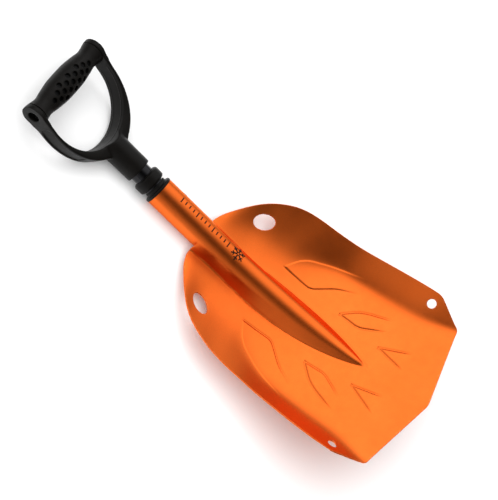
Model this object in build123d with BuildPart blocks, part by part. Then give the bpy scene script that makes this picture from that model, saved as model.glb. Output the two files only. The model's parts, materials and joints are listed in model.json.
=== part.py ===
from build123d import *
from math import atan2, cos, degrees, radians, sin, sqrt, tan
import os

os.makedirs("parts", exist_ok=True)

# Compact snow shovel with a telescoping D-handle, lying on its back, in millimetres.
# +Y runs from the blade tip to the grip, +Z is the scooping side, X = 0 is the mirror plane.
# The origin is the middle of the footprint on the surface that the shovel lies on.
# A "station" is a distance along the shaft axis from the mouth of the socket tube:
# positive towards the blade tip, negative towards the grip.

# ---------------------------------------------------------------- driving dimensions
OVERALL_LENGTH = 505.6
TIP_STATION = 345.0          # blade tip
TUBE_RADIUS = 16.0           # orange socket tube
TUBE_WALL = 1.5
SHEET = 1.6                  # blade sheet thickness
FLANGE_RADIUS = 16.3         # bushing flange, the lowest thing on the back
AXIS_Z = FLANGE_RADIUS       # height of the shaft axis above the surface
MOUTH_Y = TIP_STATION - OVERALL_LENGTH / 2

# Blade: centre line of the floor, and the wings that rise from it
FLOOR_LEVEL = -8.0           # flat rear part, from the shaft axis
FLOOR_FLAT_END = 100.0
FLOOR_RISE = 74.5            # from the flat part to the tip
FLOOR_POWER = 1.68
REAR_EDGE = 64.0
BEND_LINE = [(64, 20), (80, 34), (100, 48), (125, 50), (151, 52), (163, 60), (181, 71),
             (198, 78), (225, 82), (257, 85), (293, 88), (330, 97), (350, 99)]
WING_SLOPE = [(64, 0.0), (72, 0.20), (80, 0.32), (100, 0.425), (120, 0.445), (150, 0.40),
              (165, 0.45), (190, 0.60), (225, 0.70), (300, 0.74)]
BEND_SOFTNESS = [(64, 16), (100, 20), (145, 18), (190, 9), (300, 8), (330, 5), (350, 5)]

# Blade: the ridge that hoods the tube and runs out to a point on the floor
RIDGE_CREST = [(64, 16), (115, 16), (151, 18), (190, 21.8), (225, 26.3), (250, 30.4), (272, 33.8), (300, 34)]
RIDGE_RADIUS = [(64, 16), (115, 16), (190, 15.5), (225, 13), (250, 9), (272, 4), (300, 4)]
RIDGE_FLANK = [(64, 68), (110, 68), (151, 56), (190, 49), (225, 42), (250, 38), (272, 34), (300, 34)]
FOOT_FILLET = 2.2

# Blade: three pairs of pressed panels, each between an inner and an outer line (station, X)
PANEL_RISE = 1.3
PANEL_EDGE = 4.5
PANELS = [
    ([(151, 39.7), (187, 37.7), (208, 57), (233, 70)], [(151, 39.7), (161, 58), (181, 72), (233, 90)]),
    ([(225, 35), (248, 33.5), (277, 50.5)], [(225, 35), (240, 50.5), (262, 61), (277, 66)]),
    ([(274, 27.3), (308, 18.5)], [(274, 27.3), (308, 44.6)]),
]
PANEL_FADE = 0.45            # share of a panel's length over which it runs out

# Blade: outline of the right half (X, station), from the rear edge to the corner
SIDE = [(31, 65.5), (45, 72), (58.5, 80.5), (81.7, 100), (98.3, 130), (104.4, 175), (110.3, 240), (113, 291)]
CORNER = (96, 327.5)

# Blade: holes
LASHING_HOLE = (61.6, 105.9, 12.0, 8.3)     # X, station, half length, half width: an oval
LASHING_TURN = -50.0                        # its long side, from +X, runs with the shoulder
CORNER_HOLE = (101.8, 289.5, 4.9)           # X, station, radius
HOLE_CUT = 12.0

# Socket tube and its bushing
SOCKET_END = 192.0
SOCKET_PLUG = 6.0
SCARF_GAP = 0.2                        # under the sheet, where the tube is cut to fit it
BUSHING_DEPTH = 16.0
FLANGE_THICKNESS = 3.4
NOSE_RADIUS = 12.5
NOSE_LENGTH = 3.6

WELD_FROM = 68.0
WELD_LENGTH = 50.0
WELD_X = 16.4
WELD_Z = -9.4
WELD_RADIUS = 2.6

# Handle tube, collar and glide
HANDLE_RADIUS = 11.0
HANDLE_WALL = 1.4
HANDLE_TOP = -68.0
HANDLE_END = 168.0
COLLAR = (-21.2, -8.6, 15.3)           # upper station, lower station, radius
GLIDE_RADIUS = 14.0
GLIDE_LENGTH = 7.0
GLIDE_SPIGOT = 7.0
PIN_STATION = -15.0
PIN_RADIUS = 1.6
PIN_GRIP = 1.0                         # the pin's end stands in the tube by this much
PIN_SINK = 0.8
RIVET_STATION = -45.0
RIVET_HEAD = 4.0
RIVET_SINK = 1.2
FIT = 0.02                             # radial gap of a press fit
RUNNING_FIT = 0.08

# Snap buttons, both on the +X side of the handle tube
STOW_STATION = 23.0
EXTEND_STATION = 150.0
BUTTON_RADIUS = 3.8
BUTTON_HOLE = 4.1
BUTTON_TOP = TUBE_RADIUS + 1.9         # from the shaft axis, sprung out
BUTTON_LENGTH = 9.5
BUTTON_PRESS = 6.9
SPRING_STRIP = 0.7
SPRING_WIDTH = 8.0
SPRING_LENGTH = 27.0

# D-handle
SLEEVE = (-29.0, 14.5)                 # lower station, radius
BOW_STATION = -62.0                    # foot of the bow on the shaft axis
GRIP_STATION = -146.2
GRIP_RISE = 22.1                       # grip axis above the shaft axis
FOOT_DROP = 6.2                        # foot of the bow below the shaft axis
BOW_TILT = atan2(GRIP_RISE + FOOT_DROP, BOW_STATION - GRIP_STATION)
GRIP_REACH = (BOW_STATION - GRIP_STATION) / cos(BOW_TILT)
HOOP_CENTRE = 65.0                     # along the bow plane, from the foot
HOOP_OUTER = (52.5, 66.6)               # half width, half length
HOOP_INNER = (48.2, 51.9)
ARM_SPLAY = 1.7                        # the arms' outer faces spread by this much up to the grip
ARM_END_RADIUS = 13.4
BOW_DEPTH = 24.2
GUSSET = [(-22, 11), (-14.5, 1), (14.5, 1), (22, 11)]     # in the bow plane
GUSSET_DEPTH = 20.0
SLEEVE_INTO_BOW = 11.0
CHANNEL_FROM = 18.0                    # along the bow plane, from the foot
CHANNEL_TO = 71.0
CHANNEL_DEPTH = 1.2
CHANNEL_WIDTH = 16.0
CORE_RADIUS = 8.5
CORE_BORE = 6.0
GRIP_PROFILE = [(0, 14.7), (14, 14.3), (27, 12.6), (37, 11.1), (43.5, 11.9), (48.1, 12.9)]
DIMPLE_RADIUS = 2.5
DIMPLE_DEPTH = 1.3
DIMPLE_PITCH = 14.75
DIMPLE_ROW_TURN = 17.0                 # degrees between rows of dimples
DIMPLE_TURN = 20.0                     # the middle row, turned from +Z to the inside of the D


# ---------------------------------------------------------------- the pressed surface
def through(stations, s):
    """Value at station s of a smooth curve through (station, value) pairs."""
    if s <= stations[0][0]:
        return stations[0][1]
    if s >= stations[-1][0]:
        return stations[-1][1]
    count = len(stations)
    i = max(k for k in range(count - 1) if stations[k][0] <= s)
    chord = [(b[1] - a[1]) / (b[0] - a[0]) for a, b in zip(stations, stations[1:])]
    start = 0.5 * (chord[max(i - 1, 0)] + chord[i])
    end = 0.5 * (chord[i] + chord[min(i + 1, count - 2)])
    span = stations[i + 1][0] - stations[i][0]
    t = (s - stations[i][0]) / span
    rise = stations[i + 1][1] - stations[i][1]
    curve = t * t * (3 - 2 * t) * rise
    return stations[i][1] + curve + span * t * (1 - t) * ((1 - t) * start - t * end)


def straight(stations, s):
    """Value at station s of the straight runs between (station, value) pairs."""
    for a, b in zip(stations, stations[1:]):
        if s <= b[0]:
            return a[1] + (b[1] - a[1]) * (s - a[0]) / (b[0] - a[0])
    a, b = stations[-2:]
    return a[1] + (b[1] - a[1]) * (s - a[0]) / (b[0] - a[0])


def ease(t):
    t = min(max(t, 0.0), 1.0)
    return t * t * (3 - 2 * t)


def hinge(distance, softness):
    """Zero before a bend line, the distance past it after, rounded at the bend."""
    return 0.5 * (distance + sqrt(distance**2 + softness**2))


def floor_height(s):
    rise = FLOOR_RISE * (max(0.0, s - FLOOR_FLAT_END) / (TIP_STATION - FLOOR_FLAT_END)) ** FLOOR_POWER
    return FLOOR_LEVEL + rise


def ridge_height(x, s):
    radius = through(RIDGE_RADIUS, s)
    flank = radians(through(RIDGE_FLANK, s))
    centre = through(RIDGE_CREST, s) - radius
    turn = radius * sin(flank)
    if x < turn:
        return centre + sqrt(radius**2 - x**2)
    return centre + radius * cos(flank) - (x - turn) * tan(flank)


def panel_height(x, s):
    height = 0.0
    for inner, outer in PANELS:
        first, last = inner[0][0], inner[-1][0]
        if first < s < last + 10:
            sides = ease((x - straight(inner, s)) / PANEL_EDGE) * ease((straight(outer, s) - x) / PANEL_EDGE)
            height += PANEL_RISE * sides * ease((last - s) / (PANEL_FADE * (last - first)))
    return height


def front_height(x, s):
    """Height of the sheet's front face above the shaft axis."""
    x = abs(x)
    wing = through(WING_SLOPE, s) * hinge(x - through(BEND_LINE, s), through(BEND_SOFTNESS, s))
    dish = floor_height(s) + wing + panel_height(x, s)
    ridge = ridge_height(x, s)
    return 0.5 * (dish + ridge + sqrt((dish - ridge) ** 2 + FOOT_FILLET**2))


def slope(x, s):
    step = 0.5
    across = (front_height(x + step, s) - front_height(x - step, s)) / (2 * step)
    along = (front_height(x, s + step) - front_height(x, s - step)) / (2 * step)
    return across, along


def back_height(x, s):
    return front_height(x, s) - SHEET * sqrt(1 + sum(g * g for g in slope(x, s)))


def station_y(s):
    return MOUTH_Y - s


def section(s, lower, upper):
    """Closed section at station s between two heights above the shaft axis."""
    shares = [i / (PROFILE_POINTS - 1) for i in range(PROFILE_POINTS)]
    widths = [SECTION_HALF_WIDTH * (2 * share - 1) for share in shares]
    with BuildSketch(Plane.XZ.offset(-station_y(s))) as closed:
        with BuildLine():
            ends = []
            for height in (lower, upper):
                points = [Vector(x, AXIS_Z + height(x, s)) for x in widths]
                edge = add(Edge.make_spline(points, parameters=shares)).edge()
                ends.append((edge @ 0, edge @ 1))
            Line(ends[0][0], ends[1][0])
            Line(ends[0][1], ends[1][1])
        make_face()
    return closed.sketch


PROFILE_POINTS = 81
SECTION_HALF_WIDTH = 118.0
SECTION_STEP = 6.0
section_count = round((TIP_STATION + 20 - REAR_EDGE) / SECTION_STEP)
section_stations = [REAR_EDGE + SECTION_STEP * (i - 1) for i in range(section_count + 1)]


def hole_plane(x, s):
    """Plane square to the sheet's front face at (x, s), with its own X level."""
    across, along = slope(abs(x), s)
    normal = Vector(-across if x > 0 else across, along, 1)
    centre = (x, station_y(s), AXIS_Z + front_height(x, s))
    return Plane(origin=centre, x_dir=Vector(0, 1, 0).cross(normal), z_dir=normal)


# ---------------------------------------------------------------- blade body
with BuildPart() as blade_sheet:
    with BuildSketch(Plane.XY) as blank:
        with BuildLine():
            rear = Line((0, station_y(REAR_EDGE)), (26, station_y(REAR_EDGE)))
            side = Spline([(x, station_y(s)) for x, s in SIDE], tangents=[(1, -0.3), (0, -1)])
            Line(rear @ 1, side @ 0)
            corner = Line(side @ 1, (CORNER[0], station_y(CORNER[1])))
            Line(corner @ 1, (0, station_y(TIP_STATION)))
            mirror(about=Plane.YZ)
        make_face()
        for s, radius in ((TIP_STATION, 14), (CORNER[1], 7), (SIDE[-1][1], 24)):
            fillet(blank.vertices().filter_by_position(Axis.Y, station_y(s) - 1, station_y(s) + 1), radius)
    extrude(amount=140)
    loft([section(s, back_height, front_height) for s in section_stations], mode=Mode.INTERSECT)
    for side in (1, -1):
        with BuildSketch(hole_plane(side * LASHING_HOLE[0], LASHING_HOLE[1]).offset(-HOLE_CUT / 2)):
            Ellipse(*LASHING_HOLE[2:], rotation=side * LASHING_TURN)
        extrude(amount=HOLE_CUT, mode=Mode.SUBTRACT)
        with BuildSketch(hole_plane(side * CORNER_HOLE[0], CORNER_HOLE[1]).offset(-HOLE_CUT / 2)):
            Circle(CORNER_HOLE[2])
        extrude(amount=HOLE_CUT, mode=Mode.SUBTRACT)
blade_sheet.part.label = "blade_sheet"
export_step(blade_sheet.part, "parts/blade_sheet.step")


def above_sheet(x, s):
    return 50.0


def under_sheet(x, s):
    """Just under the sheet's back face, where the tube is scarfed to fit it."""
    return back_height(x, s) - SCARF_GAP


def shaft_plane(s, x=0.0):
    """Plane square to the shaft axis at station s, facing the blade tip."""
    return Plane(origin=(x, station_y(s), AXIS_Z), x_dir=(1, 0, 0), z_dir=(0, -1, 0))


def side_plane(s, x=0.0):
    """Plane square to +X through the shaft axis at station s."""
    return Plane(origin=(x, station_y(s), AXIS_Z), x_dir=(0, 1, 0), z_dir=(1, 0, 0))


scarf_stations = [REAR_EDGE + SECTION_STEP * i for i in range(round((SOCKET_END - REAR_EDGE) / SECTION_STEP) + 2)]
with BuildPart() as scarf:
    loft([section(s, under_sheet, above_sheet) for s in scarf_stations])

with BuildPart() as socket_tube:
    with BuildSketch(shaft_plane(0)):
        Circle(TUBE_RADIUS)
        Circle(TUBE_RADIUS - TUBE_WALL, mode=Mode.SUBTRACT)
    extrude(amount=SOCKET_END)
    add(scarf.part, mode=Mode.SUBTRACT)
    with BuildSketch(side_plane(STOW_STATION)):
        Circle(BUTTON_HOLE)
    extrude(amount=TUBE_RADIUS + 2, mode=Mode.SUBTRACT)
socket_tube.part.label = "socket_tube"
export_step(socket_tube.part, "parts/socket_tube.step")

with BuildPart() as socket_welds:
    with BuildSketch(shaft_plane(WELD_FROM)):
        with Locations((-WELD_X, WELD_Z), (WELD_X, WELD_Z)):
            Circle(WELD_RADIUS)
        Circle(TUBE_RADIUS + FIT, mode=Mode.SUBTRACT)
    extrude(amount=WELD_LENGTH)
    add(scarf.part, mode=Mode.SUBTRACT)
socket_welds.part.label = "socket_welds"
export_step(socket_welds.part, "parts/socket_welds.step")

with BuildPart() as socket_plug:
    with BuildSketch(shaft_plane(SOCKET_END - SOCKET_PLUG)):
        Circle(TUBE_RADIUS - TUBE_WALL - FIT)
    extrude(amount=SOCKET_PLUG)
    fillet(socket_plug.faces().sort_by(Axis.Y)[0].edges(), radius=1.5)
socket_plug.part.label = "socket_plug"
export_step(socket_plug.part, "parts/socket_plug.step")

with BuildPart() as tube_bushing:
    with BuildSketch(shaft_plane(0)):
        Circle(TUBE_RADIUS - TUBE_WALL - FIT)
    extrude(amount=BUSHING_DEPTH)
    with BuildSketch(shaft_plane(-FLANGE_THICKNESS)):
        Circle(FLANGE_RADIUS)
    extrude(amount=FLANGE_THICKNESS)
    chamfer(tube_bushing.faces().sort_by(Axis.Y)[-1].edges(), length=0.8)
    with BuildSketch(shaft_plane(-FLANGE_THICKNESS - NOSE_LENGTH)):
        Circle(NOSE_RADIUS)
    extrude(amount=NOSE_LENGTH)
    with BuildSketch(shaft_plane(-FLANGE_THICKNESS - NOSE_LENGTH)):
        Circle(HANDLE_RADIUS + RUNNING_FIT)
    extrude(amount=60, mode=Mode.SUBTRACT)
tube_bushing.part.label = "tube_bushing"
export_step(tube_bushing.part, "parts/tube_bushing.step")


# ---------------------------------------------------------------- handle body
with BuildPart() as handle_tube:
    with BuildSketch(shaft_plane(HANDLE_TOP)):
        Circle(HANDLE_RADIUS)
        Circle(HANDLE_RADIUS - HANDLE_WALL, mode=Mode.SUBTRACT)
    extrude(amount=HANDLE_END - HANDLE_TOP)
    for s in (STOW_STATION, EXTEND_STATION):
        with BuildSketch(side_plane(s)):
            Circle(BUTTON_HOLE)
        extrude(amount=HANDLE_RADIUS + 2, mode=Mode.SUBTRACT)
    for s in (PIN_STATION, RIVET_STATION):
        with BuildSketch(Plane.XY.offset(AXIS_Z)):
            with Locations((0, station_y(s))):
                Circle(PIN_RADIUS + FIT)
        extrude(amount=-(HANDLE_RADIUS + 2), mode=Mode.SUBTRACT)
handle_tube.part.label = "handle_tube"
export_step(handle_tube.part, "parts/handle_tube.step")

with BuildPart() as handle_glide:
    with BuildSketch(shaft_plane(HANDLE_END)):
        Circle(GLIDE_RADIUS)
    extrude(amount=GLIDE_LENGTH)
    with BuildSketch(shaft_plane(HANDLE_END - GLIDE_SPIGOT)):
        Circle(HANDLE_RADIUS - HANDLE_WALL - FIT)
    extrude(amount=GLIDE_SPIGOT)
    chamfer(handle_glide.faces().sort_by(Axis.Y)[0].edges(), length=1.2)
handle_glide.part.label = "handle_glide"
export_step(handle_glide.part, "parts/handle_glide.step")

with BuildPart() as stop_collar:
    with BuildSketch(shaft_plane(COLLAR[0])):
        Circle(COLLAR[2])
    extrude(amount=COLLAR[1] - COLLAR[0])
    chamfer(stop_collar.edges(), length=1.8)
    with BuildSketch(shaft_plane(COLLAR[0])):
        Circle(HANDLE_RADIUS + FIT)
    extrude(amount=COLLAR[1] - COLLAR[0], mode=Mode.SUBTRACT)
    with BuildSketch(Plane.XY.offset(AXIS_Z)):
        with Locations((0, station_y(PIN_STATION))):
            Circle(PIN_RADIUS + FIT)
    extrude(amount=-COLLAR[2], mode=Mode.SUBTRACT)
stop_collar.part.label = "stop_collar"
export_step(stop_collar.part, "parts/stop_collar.step")


def blind_pin(s, outer, head_radius, head_height):
    """Headed pin from the back of the shaft through one wall of the handle tube."""
    with BuildPart() as pin:
        with BuildSketch(Plane.XY.offset(AXIS_Z - outer)):
            with Locations((0, station_y(s))):
                Circle(PIN_RADIUS)
        extrude(amount=outer - HANDLE_RADIUS + HANDLE_WALL + PIN_GRIP)
        with BuildSketch(Plane.XY.offset(AXIS_Z - outer - head_height)):
            with Locations((0, station_y(s))):
                Circle(head_radius)
        extrude(amount=head_height)
        chamfer(pin.faces().sort_by(Axis.Z)[0].edges(), length=0.4 * head_height)
    return pin.part


collar_pin = blind_pin(PIN_STATION, COLLAR[2] - PIN_SINK, PIN_RADIUS, PIN_SINK / 2)
collar_pin.label = "collar_pin"
export_step(collar_pin, "parts/collar_pin.step")

sleeve_rivet = blind_pin(RIVET_STATION, SLEEVE[1] - RIVET_SINK, RIVET_HEAD, RIVET_SINK)
sleeve_rivet.label = "sleeve_rivet"
export_step(sleeve_rivet, "parts/sleeve_rivet.step")

bow_plane = Plane(
    origin=(0, station_y(BOW_STATION), AXIS_Z - FOOT_DROP),
    x_dir=(1, 0, 0),
    z_dir=(0, -sin(BOW_TILT), cos(BOW_TILT)),
)
grip_plane = Plane(
    origin=(0, station_y(GRIP_STATION), AXIS_Z + GRIP_RISE),
    x_dir=(0, cos(BOW_TILT), sin(BOW_TILT)),
    z_dir=(1, 0, 0),
)


def hoop(half_width, half_length, reach, splay):
    with BuildSketch(bow_plane) as outline:
        with Locations((0, HOOP_CENTRE)):
            Ellipse(half_width, half_length)
            Rectangle(200, 200, align=(Align.CENTER, Align.MIN), mode=Mode.SUBTRACT)
            end = half_width + splay
            Polygon((-half_width, 0), (half_width, 0), (end, reach), (-end, reach), align=None)
    return outline.sketch


ARM_END = HOOP_OUTER[0] + ARM_SPLAY
ARM_THICKNESS = ARM_END - HOOP_INNER[0]
ARM_REACH = GRIP_REACH - HOOP_CENTRE
with BuildPart() as channel:
    extrude(hoop(*HOOP_OUTER, ARM_REACH, ARM_SPLAY), amount=CHANNEL_WIDTH / 2, both=True)
    floor_of_channel = [size - CHANNEL_DEPTH for size in HOOP_OUTER]
    extrude(hoop(*floor_of_channel, ARM_REACH, ARM_SPLAY), amount=CHANNEL_WIDTH, both=True, mode=Mode.SUBTRACT)
    with BuildSketch(bow_plane):
        with Locations((0, CHANNEL_FROM)):
            Rectangle(200, 200, align=(Align.CENTER, Align.MAX))
        with Locations((0, CHANNEL_TO)):
            Rectangle(200, 200, align=(Align.CENTER, Align.MIN))
    extrude(amount=CHANNEL_WIDTH, both=True, mode=Mode.SUBTRACT)

with BuildPart() as handle_bow:
    extrude(hoop(*HOOP_OUTER, ARM_REACH, ARM_SPLAY), amount=BOW_DEPTH / 2, both=True)
    for x in (-ARM_END, HOOP_INNER[0]):
        with BuildSketch(grip_plane.offset(x)):
            Circle(ARM_END_RADIUS)
        extrude(amount=ARM_THICKNESS)
    with BuildSketch(bow_plane):
        Polygon(*GUSSET, align=None)
    extrude(amount=GUSSET_DEPTH / 2, both=True)
    with BuildSketch(shaft_plane(BOW_STATION - SLEEVE_INTO_BOW)):
        Circle(SLEEVE[1])
    extrude(amount=SLEEVE[0] - BOW_STATION + SLEEVE_INTO_BOW)
    extrude(hoop(*HOOP_INNER, 2 * ARM_REACH, 0), amount=BOW_DEPTH, both=True, mode=Mode.SUBTRACT)
    add(channel.part, mode=Mode.SUBTRACT)
    with BuildSketch():
        with Locations((0, station_y(BOW_STATION))):
            Rectangle(2 * ARM_END, 4 * BOW_DEPTH)
    extrude(amount=-BOW_DEPTH, mode=Mode.SUBTRACT)
    with BuildSketch(grip_plane.offset(-HOOP_INNER[0] - 1)):
        Circle(CORE_RADIUS)
    extrude(amount=2 * HOOP_INNER[0] + 2)
    with BuildSketch(grip_plane.offset(-ARM_END)):
        Circle(CORE_BORE)
    extrude(amount=2 * ARM_END, mode=Mode.SUBTRACT)
    with BuildSketch(shaft_plane(HANDLE_TOP)):
        Circle(HANDLE_RADIUS + FIT)
    extrude(amount=SLEEVE[0] - HANDLE_TOP, mode=Mode.SUBTRACT)
    with BuildSketch(Plane.XY.offset(AXIS_Z)):
        with Locations((0, station_y(RIVET_STATION))):
            Circle(PIN_RADIUS + FIT)
    extrude(amount=-(SLEEVE[1] + 1), mode=Mode.SUBTRACT)
    with BuildSketch(Plane.XY.offset(AXIS_Z - SLEEVE[1] + RIVET_SINK)):
        with Locations((0, station_y(RIVET_STATION))):
            Circle(RIVET_HEAD + FIT)
    extrude(amount=-2 * RIVET_SINK, mode=Mode.SUBTRACT)
handle_bow.part.label = "handle_bow"
export_step(handle_bow.part, "parts/handle_bow.step")

with BuildPart() as grip_cover:
    with BuildSketch(Plane(origin=grip_plane.origin, x_dir=(1, 0, 0), z_dir=(0, sin(BOW_TILT), -cos(BOW_TILT)))):
        with BuildLine():
            half = [(x, r) for x, r in GRIP_PROFILE]
            crest = Spline(*[(-x, r) for x, r in reversed(half[1:])], *half)
            Polyline(crest @ 1, (half[-1][0], CORE_RADIUS + FIT), (-half[-1][0], CORE_RADIUS + FIT), crest @ 0)
        make_face()
    revolve(axis=Axis(grip_plane.origin, (1, 0, 0)))
    for row in range(-2, 3):
        turn = radians(DIMPLE_TURN + row * DIMPLE_ROW_TURN)
        outward = (0, -sin(turn), cos(turn))
        count = 5 - abs(row)
        for i in range(count):
            x = (i - (count - 1) / 2) * DIMPLE_PITCH
            floor_of_dimple = through(GRIP_PROFILE, abs(x)) - DIMPLE_DEPTH
            seat = Vector(x, grip_plane.origin.Y, grip_plane.origin.Z) + Vector(*outward) * floor_of_dimple
            with BuildSketch(Plane(origin=seat, x_dir=(1, 0, 0), z_dir=outward)):
                Circle(DIMPLE_RADIUS)
            extrude(amount=3 * DIMPLE_DEPTH, mode=Mode.SUBTRACT)
grip_cover.part.label = "grip_cover"
export_step(grip_cover.part, "parts/grip_cover.step")


# ---------------------------------------------------------------- snap buttons and their springs
def snap_button(s, top):
    """Domed button on the +X side whose top is at the given distance from the shaft axis."""
    with BuildPart() as button:
        with BuildSketch(side_plane(s, top - BUTTON_LENGTH)):
            Circle(BUTTON_RADIUS)
        extrude(amount=BUTTON_LENGTH)
        fillet(button.faces().sort_by(Axis.X)[-1].edges(), radius=1.6)
    return button.part


def button_spring(s, button_top):
    """V-shaped strip spring inside the handle tube, with its bend towards the grip."""
    leg = button_top - BUTTON_LENGTH - 0.5 * SPRING_STRIP - FIT
    bore = HANDLE_RADIUS - HANDLE_WALL
    wall = sqrt(bore**2 - (SPRING_WIDTH / 2) ** 2) - SPRING_STRIP
    bend = (0.5 * (leg - wall), station_y(s - SPRING_LENGTH))
    toe, heel = station_y(s + BUTTON_RADIUS), station_y(s - BUTTON_RADIUS)
    with BuildPart() as spring:
        with BuildSketch(Plane.XY.offset(AXIS_Z)):
            with BuildLine():
                FilletPolyline((leg, toe), (leg, heel), bend, (-wall, heel), (-wall, toe), radius=1.0)
            trace(line_width=SPRING_STRIP)
        extrude(amount=SPRING_WIDTH / 2, both=True)
    return spring.part


button_pieces = {
    "stow_button": snap_button(STOW_STATION, BUTTON_TOP),
    "stow_spring": button_spring(STOW_STATION, BUTTON_TOP),
    "extend_button": snap_button(EXTEND_STATION, BUTTON_TOP - BUTTON_PRESS),
    "extend_spring": button_spring(EXTEND_STATION, BUTTON_TOP - BUTTON_PRESS),
}
for name, piece in button_pieces.items():
    piece.label = name
    export_step(piece, f"parts/{name}.step")
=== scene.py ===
import json
import math

import bpy
import numpy as np
from mathutils import Matrix, Vector
from mathutils.geometry import delaunay_2d_cdt


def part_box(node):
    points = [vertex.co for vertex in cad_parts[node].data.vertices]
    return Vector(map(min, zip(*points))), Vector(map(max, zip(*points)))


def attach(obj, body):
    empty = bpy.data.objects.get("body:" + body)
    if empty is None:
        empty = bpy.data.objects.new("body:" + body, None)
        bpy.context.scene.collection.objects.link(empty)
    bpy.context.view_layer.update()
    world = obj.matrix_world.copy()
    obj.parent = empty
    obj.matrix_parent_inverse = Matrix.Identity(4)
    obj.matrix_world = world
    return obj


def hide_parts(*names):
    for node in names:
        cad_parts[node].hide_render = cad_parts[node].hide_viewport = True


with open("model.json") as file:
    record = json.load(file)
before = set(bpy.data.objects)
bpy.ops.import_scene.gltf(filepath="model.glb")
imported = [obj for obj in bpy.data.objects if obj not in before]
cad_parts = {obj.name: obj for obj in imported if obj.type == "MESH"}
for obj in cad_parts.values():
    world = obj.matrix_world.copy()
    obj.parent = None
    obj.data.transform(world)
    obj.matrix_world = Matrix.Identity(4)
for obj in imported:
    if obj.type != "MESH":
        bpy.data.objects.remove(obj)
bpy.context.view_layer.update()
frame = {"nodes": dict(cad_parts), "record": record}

# ---------------------------------------------------------------- places, all in millimetres
MM = 0.001


def millimetres(node):
    low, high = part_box(node)
    return np.array(low) / MM, np.array(high) / MM


tube_low, tube_high = millimetres("socket_tube")
collar_low, collar_high = millimetres("stop_collar")
MOUTH_Y = tube_high[1]                              # mouth of the socket tube
AXIS_Z = 0.5 * (collar_low[2] + collar_high[2])     # height of the shaft axis
TUBE_RADIUS = AXIS_Z - tube_low[2]


def station_y(s):
    """Y of a station: a distance along the shaft from the tube's mouth towards the blade tip."""
    return MOUTH_Y - s


# ---------------------------------------------------------------- blade surface, as pressed
SHEET = 1.6
TIP_STATION = 345.0
REAR_EDGE = 64.0
FLOOR_LEVEL = -8.0               # flat rear part of the floor, from the shaft axis
FLOOR_FLAT_END = 100.0
FLOOR_RISE = 74.5                # from the flat part to the tip
FLOOR_POWER = 1.68
# (station, value): where each wing bends up, how steep it is and how soft the bend is
BEND_LINE = [(64, 20), (80, 34), (100, 48), (125, 50), (151, 52), (163, 60), (181, 71),
             (198, 78), (225, 82), (257, 85), (293, 88), (330, 97), (350, 99)]
WING_SLOPE = [(64, 0.0), (72, 0.20), (80, 0.32), (100, 0.425), (120, 0.445), (150, 0.40),
              (165, 0.45), (190, 0.60), (225, 0.70), (300, 0.74)]
BEND_SOFTNESS = [(64, 16), (100, 20), (145, 18), (190, 9), (300, 8), (330, 5), (350, 5)]
# the same for the ridge: height of its crest, radius of its top and steepness of its flanks in degrees
RIDGE_CREST = [(64, 16), (115, 16), (151, 18), (190, 21.8), (225, 26.3), (250, 30.4), (272, 33.8), (300, 34)]
RIDGE_RADIUS = [(64, 16), (115, 16), (190, 15.5), (225, 13), (250, 9), (272, 4), (300, 4)]
RIDGE_FLANK = [(64, 68), (110, 68), (151, 56), (190, 49), (225, 42), (250, 38), (272, 34), (300, 34)]
FOOT_FILLET = 1.8                # softness of the foot of the ridge
PANEL_RISE = 0.45
PANEL_EDGE = 2.4                 # width over which a panel rises
PANEL_GROOVE = (0.36, 1.15)      # depth and half width of the line round a panel
FOOT_CREASE = (0.60, 1.5)        # the same where the ridge meets the floor
PANELS = [       # inner and outer line as (station, X), and whether the outer one has a groove too
    ([(151, 39.7), (187, 37.7), (208, 57), (233, 70)], [(151, 39.7), (161, 58), (181, 72), (233, 90)], False),
    ([(225, 35), (248, 33.5), (277, 50.5)], [(225, 35), (240, 50.5), (262, 61), (277, 66)], True),
    ([(274, 27.3), (308, 18.5)], [(274, 27.3), (308, 44.6)], True),
]
PANEL_FADE = 0.36                # share of a panel's length over which it runs out
# outline of the right half (X, station), from the rear edge to the front corner
SIDE = [(31, 65.5), (45, 72), (58.5, 80.5), (81.7, 100), (98.3, 130), (104.4, 175), (110.3, 240), (113, 291)]
CORNER = (96, 327.5)
REAR_HALF_WIDTH = 26.0
LASHING_HOLE = (61.6, 105.9, 12.0, 8.3)      # X, station, half length, half width
LASHING_TURN = -50.0                         # degrees from +X to its long side
CORNER_HOLE = (101.8, 289.5, 4.9)            # X, station, radius
EVENING = 7                      # stations either side over which changes of bend are evened out
ROUNDING = (-4, -2, 0, 2, 4)     # stations over which the corners of a panel's line are rounded


def through(stations, s):
    """Value at s of the smooth curve through (station, value) pairs."""
    s = np.clip(np.asarray(s, float), stations[0][0], stations[-1][0])
    at, value = np.array(stations, float).T
    chord = np.diff(value) / np.diff(at)
    slope = np.concatenate([chord[:1], 0.5 * (chord[1:] + chord[:-1]), chord[-1:]])
    i = np.clip(np.searchsorted(at, s, side="right") - 1, 0, len(at) - 2)
    span = at[i + 1] - at[i]
    t = (s - at[i]) / span
    bend = span * t * (1 - t) * ((1 - t) * slope[i] - t * slope[i + 1])
    return value[i] + t * t * (3 - 2 * t) * (value[i + 1] - value[i]) + bend


def smoothly(stations, s):
    """The same with its changes of bend evened out."""
    before, after = through(stations, s - EVENING), through(stations, s + EVENING)
    return 0.25 * (before + 2 * through(stations, s) + after)


def angular(stations, s):
    """Value at s of the straight segments through the pairs, with slightly rounded corners."""
    at, value = np.array(stations, float).T
    return sum(np.interp(s + shift, at, value) for shift in ROUNDING) / len(ROUNDING)


def ease(t):
    """0 below 0, 1 above 1, with a smooth rise between."""
    t = np.clip(t, 0, 1)
    return t * t * (3 - 2 * t)


def hinge(d, softness):
    """0 well below 0 and d well above it, with a soft bend between."""
    return 0.5 * (d + np.sqrt(d * d + softness * softness))


def floor_height(s):
    reach = np.maximum(0, s - FLOOR_FLAT_END) / (TIP_STATION - FLOOR_FLAT_END)
    return FLOOR_LEVEL + FLOOR_RISE * reach**FLOOR_POWER


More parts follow.
